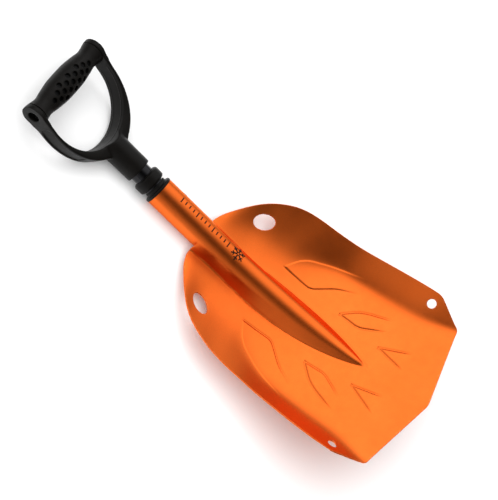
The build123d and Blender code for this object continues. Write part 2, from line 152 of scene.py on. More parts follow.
def ridge_height(x, s):
    """Round top that runs on as two straight flanks."""
    radius = through(RIDGE_RADIUS, s)
    flank = np.radians(through(RIDGE_FLANK, s))
    centre = through(RIDGE_CREST, s) - radius
    turn = radius * np.sin(flank)
    round_part = centre + np.sqrt(np.maximum(radius**2 - np.minimum(x, turn) ** 2, 0))
    return np.where(x < turn, round_part, centre + radius * np.cos(flank) - (x - turn) * np.tan(flank))


def panel_height(x, s):
    """Relief of the pressed panels, each with a fine groove along its lines."""
    height = 0
    for inner, outer, outer_groove in PANELS:
        first, last = inner[0][0], inner[-1][0]
        inside = ease((x - angular(inner, s)) / PANEL_EDGE) * ease((through(outer, s) - x) / PANEL_EDGE)
        runs_out = ease((last - s) / (PANEL_FADE * (last - first)))
        relief = PANEL_RISE * inside
        for line, at in [(inner, angular)] + [(outer, through)] * outer_groove:
            slope = at(line, s + 0.5) - at(line, s - 0.5)
            off = (x - at(line, s)) / np.sqrt(1 + slope**2)
            relief = relief - PANEL_GROOVE[0] * np.exp(-((off / PANEL_GROOVE[1]) ** 2))
        height = height + np.where(s > first, relief * runs_out, 0)
    return height


def front_height(x, s):
    """Height of the blade's scooping face above the shaft axis."""
    x = np.abs(x)
    wing = smoothly(WING_SLOPE, s) * hinge(x - smoothly(BEND_LINE, s), smoothly(BEND_SOFTNESS, s))
    dish = floor_height(s) + wing + panel_height(x, s)
    ridge = ridge_height(x, s)
    crease = FOOT_CREASE[0] * np.exp(-(((dish - ridge) / FOOT_CREASE[1]) ** 2)) * ease((s - REAR_EDGE) / 8)
    return 0.5 * (dish + ridge + np.sqrt((dish - ridge) ** 2 + FOOT_FILLET**2)) - crease


def blade_point(plan):
    """Points and unit normals of the scooping face over plan points (X, station)."""
    x, s = plan[:, 0], plan[:, 1]
    d = 0.05
    across = (front_height(x + d, s) - front_height(x - d, s)) / (2 * d)
    along = (front_height(x, s + d) - front_height(x, s - d)) / (2 * d)
    normal = np.stack([-across, along, np.ones(len(x))], 1)
    normal /= np.linalg.norm(normal, axis=1)[:, None]
    return np.stack([x, station_y(s), AXIS_Z + front_height(x, s)], 1), normal


# ---------------------------------------------------------------- mesh helpers
def add_piece(name, points, faces, normals, material, body, slot=None, **attributes):
    """Smooth-shaded mesh piece in the row frame, from points in millimetres."""
    mesh = bpy.data.meshes.new(name)
    mesh.from_pydata((np.asarray(points) * MM).tolist(), [], [list(map(int, f)) for f in faces])
    for key, values in attributes.items():
        mesh.attributes.new(key, "FLOAT", "POINT").data.foreach_set("value", np.asarray(values, np.float32))
    mesh.shade_smooth()
    if normals is not None:
        mesh.normals_split_custom_set_from_vertices(np.asarray(normals).tolist())
    piece = bpy.data.objects.new(name, mesh)
    bpy.context.scene.collection.objects.link(piece)
    mesh.materials.append(material)
    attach(piece, body)
    return piece


def resample(loop, spacing):
    """Evenly spaced points round a closed loop."""
    closed = np.vstack([loop, loop[:1]])
    run = np.concatenate([[0], np.cumsum(np.linalg.norm(np.diff(closed, axis=0), axis=1))])
    marks = np.linspace(0, run[-1], max(8, round(run[-1] / spacing)) + 1)[:-1]
    return np.stack([np.interp(marks, run, closed[:, k]) for k in (0, 1)], 1)


def loop_outward(loop):
    """Unit directions that point out of a closed plan loop which runs anticlockwise."""
    along = np.roll(loop, -1, 0) - np.roll(loop, 1, 0)
    along /= np.linalg.norm(along, axis=1)[:, None]
    return np.stack([along[:, 1], -along[:, 0]], 1)


def fillet(before, corner, after, radius, steps=8):
    """Points of the arc that rounds a corner between two straight lines."""
    a = (np.array(before) - corner) / math.dist(before, corner)
    b = (np.array(after) - corner) / math.dist(after, corner)
    half = 0.5 * math.acos(float(np.clip(a @ b, -1, 1)))
    centre = np.array(corner) + (a + b) / np.linalg.norm(a + b) * radius / math.sin(half)
    start = np.array(corner) + a * radius / math.tan(half) - centre
    end = np.array(corner) + b * radius / math.tan(half) - centre
    sweep = math.pi - 2 * half
    return [centre + (math.sin((1 - t) * sweep) * start + math.sin(t * sweep) * end) / math.sin(sweep)
            for t in np.linspace(0, 1, steps + 1)]


def spline(knots, first_way, last_way, steps):
    """Points of the smooth cubic curve through knots, with unit end directions."""
    p = np.array(knots, float)
    run = np.concatenate([[0], np.cumsum(np.linalg.norm(np.diff(p, axis=0), axis=1))])
    h = np.diff(run)
    n = len(p)
    system = np.zeros((n, n))
    right = np.zeros((n, 2))
    system[0, 0] = system[-1, -1] = 1
    right[0], right[-1] = first_way, last_way
    for i in range(1, n - 1):
        system[i, i - 1:i + 2] = [h[i], 2 * (h[i - 1] + h[i]), h[i - 1]]
        right[i] = 3 * (h[i] * (p[i] - p[i - 1]) / h[i - 1] + h[i - 1] * (p[i + 1] - p[i]) / h[i])
    way = np.linalg.solve(system, right)
    curve = []
    for i in range(n - 1):
        for t in np.linspace(0, 1, steps, endpoint=False):
            rise, span = p[i + 1] - p[i], h[i]
            curve.append(p[i] + t * t * (3 - 2 * t) * rise + span * t * (1 - t) * ((1 - t) * way[i] - t * way[i + 1]))
    return curve + [p[-1]]


# ---------------------------------------------------------------- materials
def node_material(name):
    material = bpy.data.materials.new(name)
    material.use_nodes = True
    tree = material.node_tree
    shader = tree.nodes["Principled BSDF"]
    return material, tree, shader


def noise(tree, scale, detail=3.0, roughness=0.5):
    """Noise over the row frame, with scale in cells per millimetre."""
    place = tree.nodes.new("ShaderNodeTexCoord")
    texture = tree.nodes.new("ShaderNodeTexNoise")
    texture.inputs["Scale"].default_value = scale / MM
    texture.inputs["Detail"].default_value = detail
    texture.inputs["Roughness"].default_value = roughness
    tree.links.new(place.outputs["Object"], texture.inputs["Vector"])
    return texture.outputs["Fac"]


def ramp(tree, source, stops):
    """Colour ramp through (position, colour) stops."""
    node = tree.nodes.new("ShaderNodeValToRGB")
    elements = node.color_ramp.elements
    while len(elements) < len(stops):
        elements.new(0.5)
    for element, (position, colour) in zip(elements, stops):
        element.position = position
        element.color = (*colour, 1.0) if hasattr(colour, "__len__") else (colour, colour, colour, 1.0)
    tree.links.new(source, node.inputs["Fac"])
    return node.outputs["Color"]


def mix(tree, factor, first, second, kind="MIX"):
    node = tree.nodes.new("ShaderNodeMix")
    node.data_type = "RGBA"
    node.blend_type = kind
    sockets = [i for i in node.inputs if i.enabled]
    for socket, value in zip(sockets, (factor, first, second)):
        if isinstance(value, bpy.types.NodeSocket):
            tree.links.new(value, socket)
        elif hasattr(value, "__len__"):
            socket.default_value = (*value, 1.0)
        else:
            socket.default_value = value
    return [o for o in node.outputs if o.enabled][0]


def math_node(tree, operation, first, second=None):
    node = tree.nodes.new("ShaderNodeMath")
    node.operation = operation
    for socket, value in zip(node.inputs, (first, second)):
        if isinstance(value, bpy.types.NodeSocket):
            tree.links.new(value, socket)
        elif value is not None:
            socket.default_value = value
    return node.outputs["Value"]


def bump(tree, shader, height, depth):
    """Bump of the given depth in millimetres."""
    node = tree.nodes.new("ShaderNodeBump")
    node.inputs["Distance"].default_value = depth * MM
    node.inputs["Strength"].default_value = 1.0
    tree.links.new(height, node.inputs["Height"])
    tree.links.new(node.outputs["Normal"], shader.inputs["Normal"])


def attribute(tree, name):
    node = tree.nodes.new("ShaderNodeAttribute")
    node.attribute_name = name
    return node.outputs["Fac"]


def anodised_orange():
    """Bead-blasted aluminium, dyed orange under a clear seal: fine grain, paler worn edges."""
    material, tree, shader = node_material("orange_anodised")
    shader.inputs["Metallic"].default_value = 1.0
    shader.inputs["Specular Tint"].default_value = (0.9, 0.6, 0.4, 1.0)
    shader.inputs["Coat Weight"].default_value = 0.2
    shader.inputs["Coat IOR"].default_value = 1.5
    shader.inputs["Coat Roughness"].default_value = 0.3
    tone = ramp(tree, noise(tree, 0.02, 2.0), [(0.3, (0.90, 0.148, 0.013)), (0.7, (0.93, 0.160, 0.016))])
    grain = noise(tree, 1.3, 3.0, 0.7)
    speck = ramp(tree, grain, [(0.3, 0.84), (0.7, 1.0)])
    tone = mix(tree, 1.0, tone, speck, "MULTIPLY")
    patchy = ramp(tree, noise(tree, 0.35, 4.0), [(0.45, 0.0), (0.62, 1.0)])
    worn = math_node(tree, "MULTIPLY", attribute(tree, "edge"), patchy)
    tone = mix(tree, math_node(tree, "MULTIPLY", worn, 0.3), tone, (0.93, 0.32, 0.12))
    tree.links.new(tone, shader.inputs["Base Color"])
    rough = ramp(tree, noise(tree, 0.12, 4.0), [(0.3, 0.29), (0.7, 0.34)])
    tree.links.new(rough, shader.inputs["Roughness"])
    bump(tree, shader, grain, 0.012)
    return material


def moulded_black(name, dark, light, rough_low, rough_high, depth):
    """Black plastic with the fine spark-eroded grain of its mould, and painted shade that darkens the floors of the
    grip's dimples.
    """
    material, tree, shader = node_material(name)
    tone = ramp(tree, noise(tree, 0.05, 3.0), [(0.3, dark), (0.7, light)])
    # painted shade: where the dimple mask is 1, the colour falls to a twentieth of the dark tone, so the dimples'
    # floors look shaded
    tone = mix(tree, attribute(tree, "cavity"), tone, [0.05 * c for c in dark])
    tree.links.new(tone, shader.inputs["Base Color"])
    shader.inputs["Specular IOR Level"].default_value = 0.13
    tree.links.new(ramp(tree, noise(tree, 0.4, 4.0), [(0.3, rough_low), (0.7, rough_high)]), shader.inputs["Roughness"])
    bump(tree, shader, noise(tree, 2.2, 3.0), depth)
    return material


def metal(name, colour, rough_low, rough_high, depth=0.004):
    """Plain metal with fine scratches and a little uneven polish."""
    material, tree, shader = node_material(name)
    shader.inputs["Metallic"].default_value = 1.0
    tone = ramp(tree, noise(tree, 0.3, 3.0), [(0.3, [c * 0.88 for c in colour]), (0.7, colour)])
    tree.links.new(tone, shader.inputs["Base Color"])
    tree.links.new(ramp(tree, noise(tree, 1.0, 4.0), [(0.3, rough_low), (0.7, rough_high)]), shader.inputs["Roughness"])
    bump(tree, shader, noise(tree, 4.0, 2.0), depth)
    return material


orange = anodised_orange()
black_plastic = moulded_black("black_plastic", (0.0024, 0.0020, 0.0016), (0.0040, 0.0034, 0.0028), 0.36, 0.46, 0.02)
black_grip = moulded_black("black_grip", (0.0024, 0.0020, 0.0016), (0.0040, 0.0034, 0.0028), 0.38, 0.52, 0.03)
ink = moulded_black("ink", (0.020, 0.006, 0.002), (0.030, 0.009, 0.003), 0.40, 0.50, 0.01)
black_anodised = metal("black_anodised", (0.028, 0.028, 0.030), 0.12, 0.20)
plated_steel = metal("plated_steel", (0.74, 0.74, 0.75), 0.16, 0.26)
spring_steel = metal("spring_steel", (0.42, 0.43, 0.46), 0.25, 0.38)
FINISH = {
    "orange_anodised": orange, "black_plastic": black_plastic, "black_grip": black_grip,
    "black_anodised": black_anodised, "plated_steel": plated_steel, "spring_steel": spring_steel,
}
for subpart in frame["record"]["subparts"]:
    node = frame["nodes"][subpart["node"]]
    node.data.materials.clear()
    node.data.materials.append(FINISH[subpart["material_slot"]])


# ---------------------------------------------------------------- blade
RIM = 0.45                # rounding of the sheet's edges
SEAM = 0.03               # the same where the sheet runs flush onto the tube
SEAM_FADE = 3.0           # distance from the tube over which one becomes the other
FINE = 0.9                # mesh spacing where the sheet bends; every other row and column is left out elsewhere
BENT = 0.035              # second difference of height from which the sheet counts as bent
RIM_CLEARANCE = 1.1       # inner mesh points stay this far from the edges
RIM_ANGLES = np.radians([22.5, 45, 67.5, 90])
SHOULDER_RADIUS, CORNER_RADIUS, TIP_RADIUS = 24, 7, 14


def half_outline():
    """Plan outline of the right half, from the rear edge to the tip."""
    side = spline([(x, s) for x, s in SIDE], (0.9578, 0.2873), (0, 1), 14)
    shoulder = fillet((SIDE[-1][0], SIDE[-1][1] - 30), SIDE[-1], CORNER, SHOULDER_RADIUS)
    keep = [p for p in side if p[1] < shoulder[0][1] - 0.5]
    tip = (0, TIP_STATION)
    corner = fillet(SIDE[-1], CORNER, tip, CORNER_RADIUS)
    point = fillet(CORNER, tip, (-CORNER[0], CORNER[1]), TIP_RADIUS, 12)[:7]
    return [np.array([REAR_HALF_WIDTH, REAR_EDGE])] + keep + shoulder + corner + point


def blade_outline():
    right = np.array(half_outline())
    left = right[::-1] * (-1, 1)
    return resample(np.vstack([right, left[1:]]), 1.0)


def hole_loop(x, s, half_length, half_width, turn):
    """Plan loop of a hole that is cut square to the sheet."""
    here = np.array([[x, s]])
    centre, normal = (a[0] for a in blade_point(here))
    level = np.cross((0, 1, 0), normal)
    level /= np.linalg.norm(level)
    upper = np.cross(normal, level)
    angle = np.linspace(0, 2 * np.pi, 73)[:-1]
    a, b = half_length * np.cos(angle), half_width * np.sin(angle)
    turn = math.radians(turn)
    u, v = a * math.cos(turn) - b * math.sin(turn), a * math.sin(turn) + b * math.cos(turn)
    ring = centre + u[:, None] * level + v[:, None] * upper
    return np.stack([ring[:, 0], MOUTH_Y - ring[:, 1]], 1)


def inside_loop(loop, points):
    """Even-odd test of plan points against a loop."""
    inside = np.zeros(len(points), bool)
    for a, b in zip(loop, np.roll(loop, -1, 0)):
        crosses = (a[1] > points[:, 1]) != (b[1] > points[:, 1])
        at = a[0] + (points[:, 1] - a[1]) / (b[1] - a[1] + 1e-12) * (b[0] - a[0])
        inside ^= crosses & (points[:, 0] < at)
    return inside


def anticlockwise(loop):
    area = np.sum(loop[:, 0] * np.roll(loop[:, 1], -1) - loop[:, 1] * np.roll(loop[:, 0], -1))
    return loop if area > 0 else loop[::-1]


def blade_holes():
    holes = []
    for side in (1, -1):
        x, s, half_length, half_width = LASHING_HOLE
        holes.append(anticlockwise(hole_loop(side * x, s, half_length, half_width, side * LASHING_TURN)))
        x, s, radius = CORNER_HOLE
        holes.append(anticlockwise(hole_loop(side * x, s, radius, radius, 0)))
    return holes


def inner_points(outline, holes):
    """Plan points between the edges: a fine grid where the sheet bends, and a coarse one elsewhere."""
    low, high = outline.min(0), outline.max(0)
    xs = np.arange(0, high[0] + FINE, FINE)
    xs = np.concatenate([-xs[:0:-1], xs])
    ss = np.arange(low[1], high[1] + FINE, FINE)
    gx, gs = np.meshgrid(xs, ss, indexing="ij")
    ix, js = np.meshgrid(np.arange(len(xs)) - len(xs) // 2, np.arange(len(ss)), indexing="ij")
    height = front_height(gx, gs)
    bent = np.zeros_like(height)
    bent[1:-1, 1:-1] = np.abs(height[2:, 1:-1] + height[:-2, 1:-1] - 2 * height[1:-1, 1:-1])
    bent[1:-1, 1:-1] += np.abs(height[1:-1, 2:] + height[1:-1, :-2] - 2 * height[1:-1, 1:-1])
    wide = bent.copy()
    for shift in (-1, 1):
        for axis in (0, 1):
            wide = np.maximum(wide, np.roll(bent, shift, axis))
    keep = (wide > BENT) | ((ix % 2 == 0) & (js % 2 == 0))
    inner = np.stack([gx[keep], gs[keep]], 1)
    clear = inside_loop(outline - RIM_CLEARANCE * loop_outward(outline), inner)
    for hole in holes:
        clear &= ~inside_loop(hole + RIM_CLEARANCE * loop_outward(hole), inner)
    return inner[clear]


def plan_mesh(loops, inner, holes):
    """Triangles over the plan, which face up, and their points: those of the loops in order, then the inner ones."""
    points = np.vstack(loops + [inner])
    edges, first = [], 0
    for loop in loops:
        n = len(loop)
        edges += [(first + i, first + (i + 1) % n) for i in range(n)]
        first += n
    plan, _, triangles, _, _, _ = delaunay_2d_cdt([Vector(p) for p in points], edges, [], 1, 1e-6)
    plan = np.array([tuple(p) for p in plan])
    assert len(plan) == len(points)
    triangles = np.array([list(t) for t in triangles])
    centre = plan[triangles].mean(1)
    solid = np.ones(len(triangles), bool)
    for hole in holes:
        solid &= ~inside_loop(hole + RIM * loop_outward(hole), centre)
    triangles = triangles[solid]
    corner = plan[triangles]
    area = np.cross(corner[:, 1] - corner[:, 0], corner[:, 2] - corner[:, 0])
    upward = area < 0      # plan stations run against Y
    return plan, np.where(upward[:, None], triangles, triangles[:, ::-1])


def rim_rings(place, up, rim, outer):
    """Points and normals of the rings that round a sheet edge, from its front face to its back."""
    along = np.roll(place, -1, 0) - np.roll(place, 1, 0)
    out = np.cross(along, up)
    out /= np.linalg.norm(out, axis=1)[:, None]
    if outer != (np.mean(np.sum(out * (place - place.mean(0)), 1)) > 0):
        out = -out
    for flip, order in ((1, RIM_ANGLES), (-1, RIM_ANGLES[::-1])):
        for a in order:
            centre = place - up * (rim if flip == 1 else SHEET - rim)
            tilt = out * math.sin(a) + flip * up * math.cos(a)
            yield centre + rim * tilt, tilt


def facing(faces, verts, normals):
    """Faces with each one turned to agree with the normals of its corners."""
    turned = []
    for face in faces:
        a, b, c = (verts[i] for i in face[:3])
        agrees = np.dot(np.cross(b - a, c - a), normals[face[0]] + normals[face[1]] + normals[face[2]]) >= 0
        turned.append(face if agrees else face[::-1])
    return turned


def build_blade():
    """The pressed sheet: both faces over one plan mesh, and a rounded rim round each edge."""
    outline = anticlockwise(blade_outline())
    holes = blade_holes()
    on_tube = (outline[:, 1] < REAR_EDGE + 0.5) * (1 - ease((np.abs(outline[:, 0]) - TUBE_RADIUS) / SEAM_FADE))
    rims = [RIM + (SEAM - RIM) * on_tube] + [np.full(len(h), RIM) for h in holes]
    loops = [outline - rims[0][:, None] * loop_outward(outline)] + [h + RIM * loop_outward(h) for h in holes]
    plan, triangles = plan_mesh(loops, inner_points(outline, holes), holes)

    front, normal = blade_point(plan)
    n = len(plan)
    verts = [front, front - SHEET * normal]
    normals = [normal, -normal]
    edge = [np.zeros(n), np.zeros(n)]
    faces = [tuple(t) for t in triangles] + [tuple(t[::-1] + n) for t in triangles]
    start, total = 0, 2 * n
    for k, (loop, rim) in enumerate(zip(loops, rims)):
        m = len(loop)
        ids = start + np.arange(m)
        start += m
        rings = [ids]
        for ring, tilt in rim_rings(front[ids], normal[ids], rim[:, None], k == 0):
            verts.append(ring)
            normals.append(tilt)
            edge.append(rim / RIM)
            rings.append(total + np.arange(m))
            total += m
        rings.append(ids + n)
        for a, b in zip(rings, rings[1:]):
            faces += [(a[i], a[(i + 1) % m], b[(i + 1) % m], b[i]) for i in range(m)]
        edge[0][ids] = edge[1][ids] = rim / RIM
    verts, normals = np.vstack(verts), np.vstack(normals)
    faces = facing(faces, verts, normals)
    verts = np.clip(verts, *millimetres("blade_sheet"))
    edge = np.concatenate(edge)
    piece = add_piece("blade_skin", verts, faces, normals, orange, "blade", "orange_anodised", edge=edge)
    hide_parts("blade_sheet")


build_blade()


# ---------------------------------------------------------------- moulded pieces, from distance fields
def smooth_max(a, b, softness):
    """Where two solids overlap, with a soft edge."""
    return 0.5 * (a + b + np.sqrt((a - b) ** 2 + softness**2))


def smooth_min(a, b, softness):
    """Two solids together, with a soft joint."""
    return 0.5 * (a + b - np.sqrt((a - b) ** 2 + softness**2))


def gradient(field, p, d=0.02):
    return np.stack([(field(p + step) - field(p - step)) / (2 * d) for step in d * np.eye(3)], 1)


def surface_net(field, low, high, step):
    """Quad mesh of the surface where field changes sign inside a box, with its normals."""
    low = np.array(low, float) - 1.5 * step
    counts = np.ceil((np.array(high) - low) / step).astype(int) + 3
    axes = [low[k] + step * np.arange(counts[k]) for k in range(3)]
    grid = np.stack(np.meshgrid(*axes, indexing="ij"), -1)
    value = field(grid.reshape(-1, 3)).reshape(counts)
    cells = tuple(counts - 1)
    total, hits = np.zeros(cells + (3,)), np.zeros(cells)
    crossings = []
    for axis in range(3):
        one, two = (axis + 1) % 3, (axis + 2) % 3
        a = value.take(range(counts[axis] - 1), axis)
        b = value.take(range(1, counts[axis]), axis)
        crosses = (a < 0) != (b < 0)
        crossings.append((axis, one, two, a < 0, crosses))
        t = np.where(crosses, a / np.where(crosses, a - b, 1), 0)
        for d1 in (0, 1):
            for d2 in (0, 1):
                part = [slice(None)] * 3
                part[one] = slice(d1, d1 + cells[one])
                part[two] = slice(d2, d2 + cells[two])
                here = crosses[tuple(part)]
                total[..., axis] += t[tuple(part)]
                total[..., one] += d1 * here
                total[..., two] += d2 * here
                hits += here
    active = hits > 0
    ids = np.full(cells, -1)
    ids[active] = np.arange(active.sum())
    points = low + step * (np.argwhere(active) + total[active] / hits[active][:, None])
    faces = []
    for axis, one, two, starts_inside, crosses in crossings:
        at = np.argwhere(crosses)
        at = at[(at[:, one] > 0) & (at[:, two] > 0) & (at[:, one] < cells[one]) & (at[:, two] < cells[two])]
        corner = []
        for d1, d2 in ((-1, -1), (0, -1), (0, 0), (-1, 0)):
            cell = at.copy()
            cell[:, one] += d1
            cell[:, two] += d2
            corner.append(ids[tuple(cell.T)])
        quads = np.stack(corner, 1)
        outward = starts_inside[tuple(at.T)]
        faces.append(np.where(outward[:, None], quads, quads[:, ::-1]))
    for _ in range(4):
        slope = gradient(field, points)
        move = field(points)[:, None] * slope / np.maximum(np.sum(slope**2, 1), 0.2)[:, None]
        points = points - np.clip(move, -0.5 * step, 0.5 * step)
    normals = gradient(field, points)
    normals /= np.linalg.norm(normals, axis=1)[:, None]
    return points, np.vstack(faces), normals


def moulded(name, field, node, step, material, body, slot, **measures):
    """Piece that stands for a CAD node, meshed from its distance field."""
    low, high = millimetres(node)
    points, faces, normals = surface_net(field, low, high, step)
    found = {key: measure(points) for key, measure in measures.items()}
    piece = add_piece(name, np.clip(points, low, high), faces, normals, material, body, slot, **found)
    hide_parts(node)


# D-handle, in the plane of the bow: its foot, its tilt and the two half ellipses of the hoop
BOW_STATION = -62.0
GRIP_STATION = -146.2
GRIP_RISE = 22.1
FOOT_DROP = 6.2
BOW_TILT = math.atan2(GRIP_RISE + FOOT_DROP, BOW_STATION - GRIP_STATION)
GRIP_REACH = (BOW_STATION - GRIP_STATION) / math.cos(BOW_TILT)
HOOP_CENTRE = 65.0
HOOP_OUTER = (52.5, 66.6)        # half width and length
HOOP_INNER = (48.2, 51.9)
ARM_SPLAY = 1.7
ARM_REACH = GRIP_REACH - HOOP_CENTRE
ARM_END_RADIUS = 13.4
BOW_DEPTH = 24.2
CORE_RADIUS = 8.5
CORE_BORE = 6.0
CHANNEL_DEPTH = 1.2              # sunk band round the outside of the hoop
CHANNEL_HALF = 7.6
CHANNEL_EDGE = 1.4
CHANNEL_ENDS = (18.0, 71.0)      # along the bow plane, from the foot
LINE_DEPTH, LINE_AT, LINE_HALF = 0.3, 6.5, 0.6      # raised lines round the inside of the hoop
GUSSET_FROM, GUSSET_TO, GUSSET_WIDE, GUSSET_DEPTH = 1.0, 11.0, (14.5, 22.0), 20.0
SLEEVE_END, SLEEVE_RADIUS, SLEEVE_INTO_BOW = -29.0, 14.5, 11.0
RIVET_STATION, RIVET_HEAD, RIVET_SINK = -45.0, 4.0, 1.2
LOWEST = 0.01                    # the bow is trimmed flat just above the floor

# grip: (distance from its middle, radius), and a hexagon of round dimples
GRIP_PROFILE = [(0, 14.7), (14, 14.3), (27, 12.6), (37, 11.1), (43.5, 11.9), (48.1, 12.9)]
DIMPLE_RADIUS, DIMPLE_DEPTH, DIMPLE_PITCH = 2.8, 2.4, 14.75
DIMPLE_ROW_TURN, DIMPLE_TURN = 17.0, 20.0
DIMPLES_END = 40.0               # no dimple is further than this from the middle

# handle tube and collar, and what stands at the mouth of the socket tube
HANDLE_RADIUS = 11.0
HANDLE_TOP = -68.0
PIN_STATION, PIN_RADIUS = -15.0, 1.6
COLLAR_CHAMFER = 1.8
GAP = 0.02
RUNNING_FIT = 0.08
FLANGE_RADIUS, FLANGE_THICKNESS, FLANGE_CHAMFER = 16.3, 3.4, 0.8
NOSE_RADIUS, NOSE_LENGTH = 12.5, 3.6
BUSHING_SKIRT = 14.48            # radius of the part that is pressed into the tube
bushing_end = MOUTH_Y - millimetres("tube_bushing")[0][1]

WELD_X, WELD_Z, WELD_RADIUS = 16.4, -9.4, 2.6
WELD_PITCH, WELD_RIPPLE = 2.1, 0.28
WELD_SINK = 0.3                  # into the wall of the tube
weld_low, weld_high = millimetres("socket_welds")
weld_from, weld_to = MOUTH_Y - weld_high[1], MOUTH_Y - weld_low[1]


def from_shaft(p):
    """Distance from the shaft's axis."""
    return np.hypot(p[:, 0], p[:, 2] - AXIS_Z)


def ellipse(u, v, half_width, half_length):
    """Distance from an ellipse, close to true near it."""
    once = np.hypot(u / half_width, v / half_length)
    twice = np.hypot(u / half_width**2, v / half_length**2)
    return once * (once - 1) / np.maximum(twice, 1e-9)


def d_shape(u, v, half_width, half_length, splay=0.0):
    """Distance from a half ellipse that runs on as two straight arms."""
    curved = ellipse(u, v - HOOP_CENTRE, half_width, half_length)
    return np.where(v < HOOP_CENTRE, curved, u - half_width - splay * (v - HOOP_CENTRE) / ARM_REACH)


def bow_coordinates(p):
    """Across, along the bow plane from its foot, and out of that plane."""
    y = p[:, 1] - station_y(BOW_STATION)
    z = p[:, 2] - (AXIS_Z - FOOT_DROP)
    along = y * math.cos(BOW_TILT) + z * math.sin(BOW_TILT)
    out = -y * math.sin(BOW_TILT) + z * math.cos(BOW_TILT)
    return np.abs(p[:, 0]), along, out


def channel_share(v, w):
    """1 in the sunk band of the hoop, 0 outside it, with eased edges."""
    share = 1 - ease((np.abs(w) - CHANNEL_HALF + CHANNEL_EDGE / 2) / CHANNEL_EDGE)
    share = share * ease((v - CHANNEL_ENDS[0]) / 3)
    end = np.hypot(np.maximum(v - CHANNEL_ENDS[1] + CHANNEL_HALF, 0), w)
    return share * (1 - ease((end - CHANNEL_HALF + CHANNEL_EDGE / 2) / CHANNEL_EDGE))


def bow_field(p):
    """The hoop with its arms, gusset and sleeve, and the hollow core that carries the grip."""
    u, v, w = bow_coordinates(p)
    reach = v - GRIP_REACH
    round_grip = np.hypot(reach, w)
    outer = d_shape(u, v, *HOOP_OUTER, ARM_SPLAY) + CHANNEL_DEPTH * channel_share(v, w)
    line = LINE_DEPTH * np.exp(-(((np.abs(w) - LINE_AT) / LINE_HALF) ** 2)) * ease((GRIP_REACH - 16 - v) / 8)
    inner = d_shape(u, v, *HOOP_INNER) + line
    side = smooth_min(np.maximum(np.abs(w) - BOW_DEPTH / 2, reach), round_grip - ARM_END_RADIUS, 1.2)
    hoop = smooth_max(np.maximum(outer, -inner), side, 0.5 + 1.2 * ease((GRIP_REACH - 10 - v) / 8))
    shaft = from_shaft(p)
    mouth = station_y(SLEEVE_END) - p[:, 1]
    sleeve = smooth_max(shaft - SLEEVE_RADIUS, mouth, 0.9)
    sleeve = np.maximum(sleeve, p[:, 1] - station_y(BOW_STATION - SLEEVE_INTO_BOW))
    widening = (GUSSET_WIDE[1] - GUSSET_WIDE[0]) * (v - GUSSET_FROM) / (GUSSET_TO - GUSSET_FROM)
    gusset = np.maximum(u - GUSSET_WIDE[0] - widening, np.abs(w) - GUSSET_DEPTH / 2)
    gusset = np.maximum(gusset, np.maximum(GUSSET_FROM - v, v - GUSSET_TO))
    body = smooth_min(smooth_min(hoop, gusset, 1.2), sleeve, 1.6)
    body = smooth_max(body, -inner, 1.2)
    body = np.minimum(body, np.maximum(round_grip - CORE_RADIUS, u - HOOP_INNER[0] - 1))
    body = smooth_max(body, CORE_BORE - round_grip, 0.8)
    bore = np.maximum(shaft - HANDLE_RADIUS - GAP, p[:, 1] - station_y(HANDLE_TOP))
    body = smooth_max(body, -bore, 0.3)
    across_rivet = np.hypot(p[:, 0], p[:, 1] - station_y(RIVET_STATION))
    seat = np.maximum(across_rivet - RIVET_HEAD - GAP, p[:, 2] - (AXIS_Z - SLEEVE_RADIUS + RIVET_SINK))
    return np.maximum(smooth_max(body, -seat, 0.3), LOWEST - p[:, 2])


def grip_field(p):
    """A waisted barrel round the core, with five rows of dimples."""
    u, v, w = bow_coordinates(p)
    round_grip = np.hypot(v - GRIP_REACH, w)
    body = smooth_max(round_grip - through(GRIP_PROFILE, u), u - GRIP_PROFILE[-1][0], 0.15)
    body = np.maximum(body, CORE_RADIUS + GAP - round_grip)
    y = p[:, 1] - station_y(GRIP_STATION)
    z = p[:, 2] - (AXIS_Z + GRIP_RISE)
    for row in range(-2, 3):
        turn = math.radians(DIMPLE_TURN + row * DIMPLE_ROW_TURN)
        out = -y * math.sin(turn) + z * math.cos(turn)
        beside = y * math.cos(turn) + z * math.sin(turn)
        count = 5 - abs(row)
        for i in range(count):
            x = (i - (count - 1) / 2) * DIMPLE_PITCH
            floor_of_dimple = float(through(GRIP_PROFILE, abs(x))) - DIMPLE_DEPTH
            dimple = np.maximum(np.hypot(p[:, 0] - x, beside) - DIMPLE_RADIUS, floor_of_dimple - out)
            body = smooth_max(body, -dimple, 0.25)
    return body


def dimple_depth(p):
    """0 on the barrel of the grip, 1 at the bottom of its dimples; this masks the painted shade in the dimples."""
    u, v, w = bow_coordinates(p)
    below = through(GRIP_PROFILE, u) - np.hypot(v - GRIP_REACH, w)
    return ease(below / DIMPLE_DEPTH) * (u < DIMPLES_END)


def bushing_field(p):
    """Flange and nose outside the tube, and the skirt inside it."""
    shaft = from_shaft(p)
    s = MOUTH_Y - p[:, 1]
    flange = smooth_max(shaft - FLANGE_RADIUS, np.abs(s + FLANGE_THICKNESS / 2) - FLANGE_THICKNESS / 2, 0.5)
    shoulder = shaft - FLANGE_RADIUS - s - FLANGE_THICKNESS + FLANGE_CHAMFER
    flange = smooth_max(flange, shoulder / math.sqrt(2), 0.4)
    nose = smooth_max(shaft - NOSE_RADIUS, -(s + FLANGE_THICKNESS + NOSE_LENGTH), 0.5)
    nose = np.maximum(nose, s + FLANGE_THICKNESS / 2)
    inside = np.maximum(shaft - BUSHING_SKIRT, np.maximum(-s - 1, s - bushing_end))
    body = np.minimum(smooth_min(flange, nose, 0.5), inside)
    return smooth_max(body, HANDLE_RADIUS + RUNNING_FIT - shaft, 0.3)


